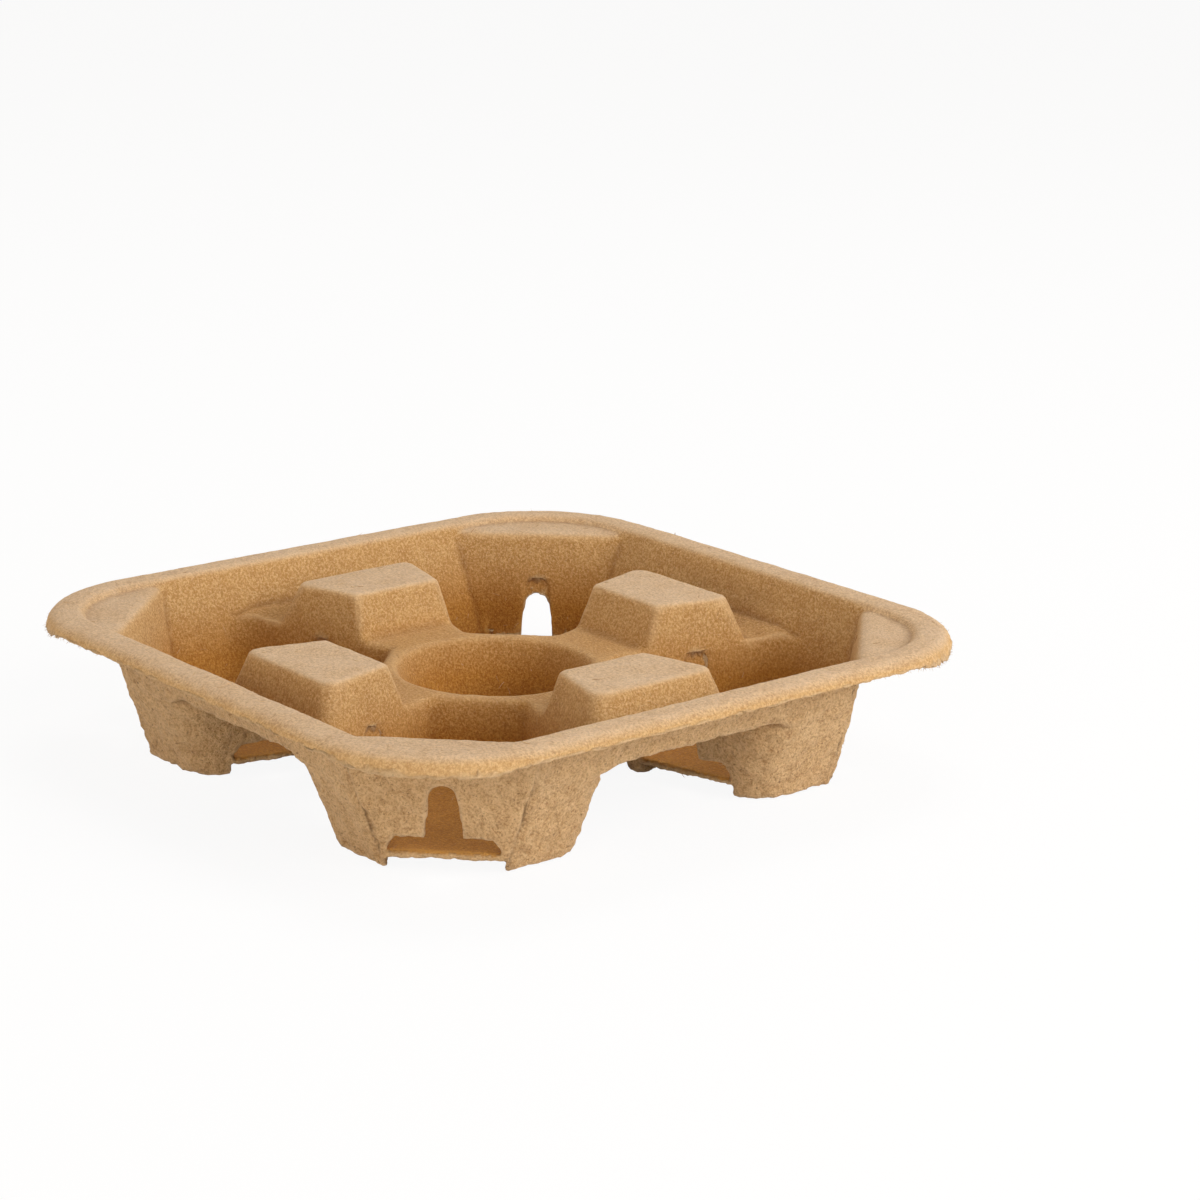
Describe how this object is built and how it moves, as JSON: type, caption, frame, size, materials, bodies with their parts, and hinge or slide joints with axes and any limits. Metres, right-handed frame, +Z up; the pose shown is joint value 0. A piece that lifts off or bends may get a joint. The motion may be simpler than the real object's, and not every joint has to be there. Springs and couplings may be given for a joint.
{
  "type": "moulded pulp cup carrier",
  "caption": "Square moulded-pulp drinks tray with a rolled rim, six-sided cup pockets on slotted feet, raised posts between the pockets and a round well in the middle.",
  "frame": {"origin": "middle of the tray, on the plane that its feet stand on", "axes": "+Z up, out of the cup pockets; X and Y square to the side walls"},
  "size_m": [0.216, 0.216, 0.0425],
  "materials": {
    "moulded_pulp": "matte, fibrous"
  },
  "bodies": {
    "root": {"cup_carrier": "moulded_pulp"}
  },
  "joints": []
}
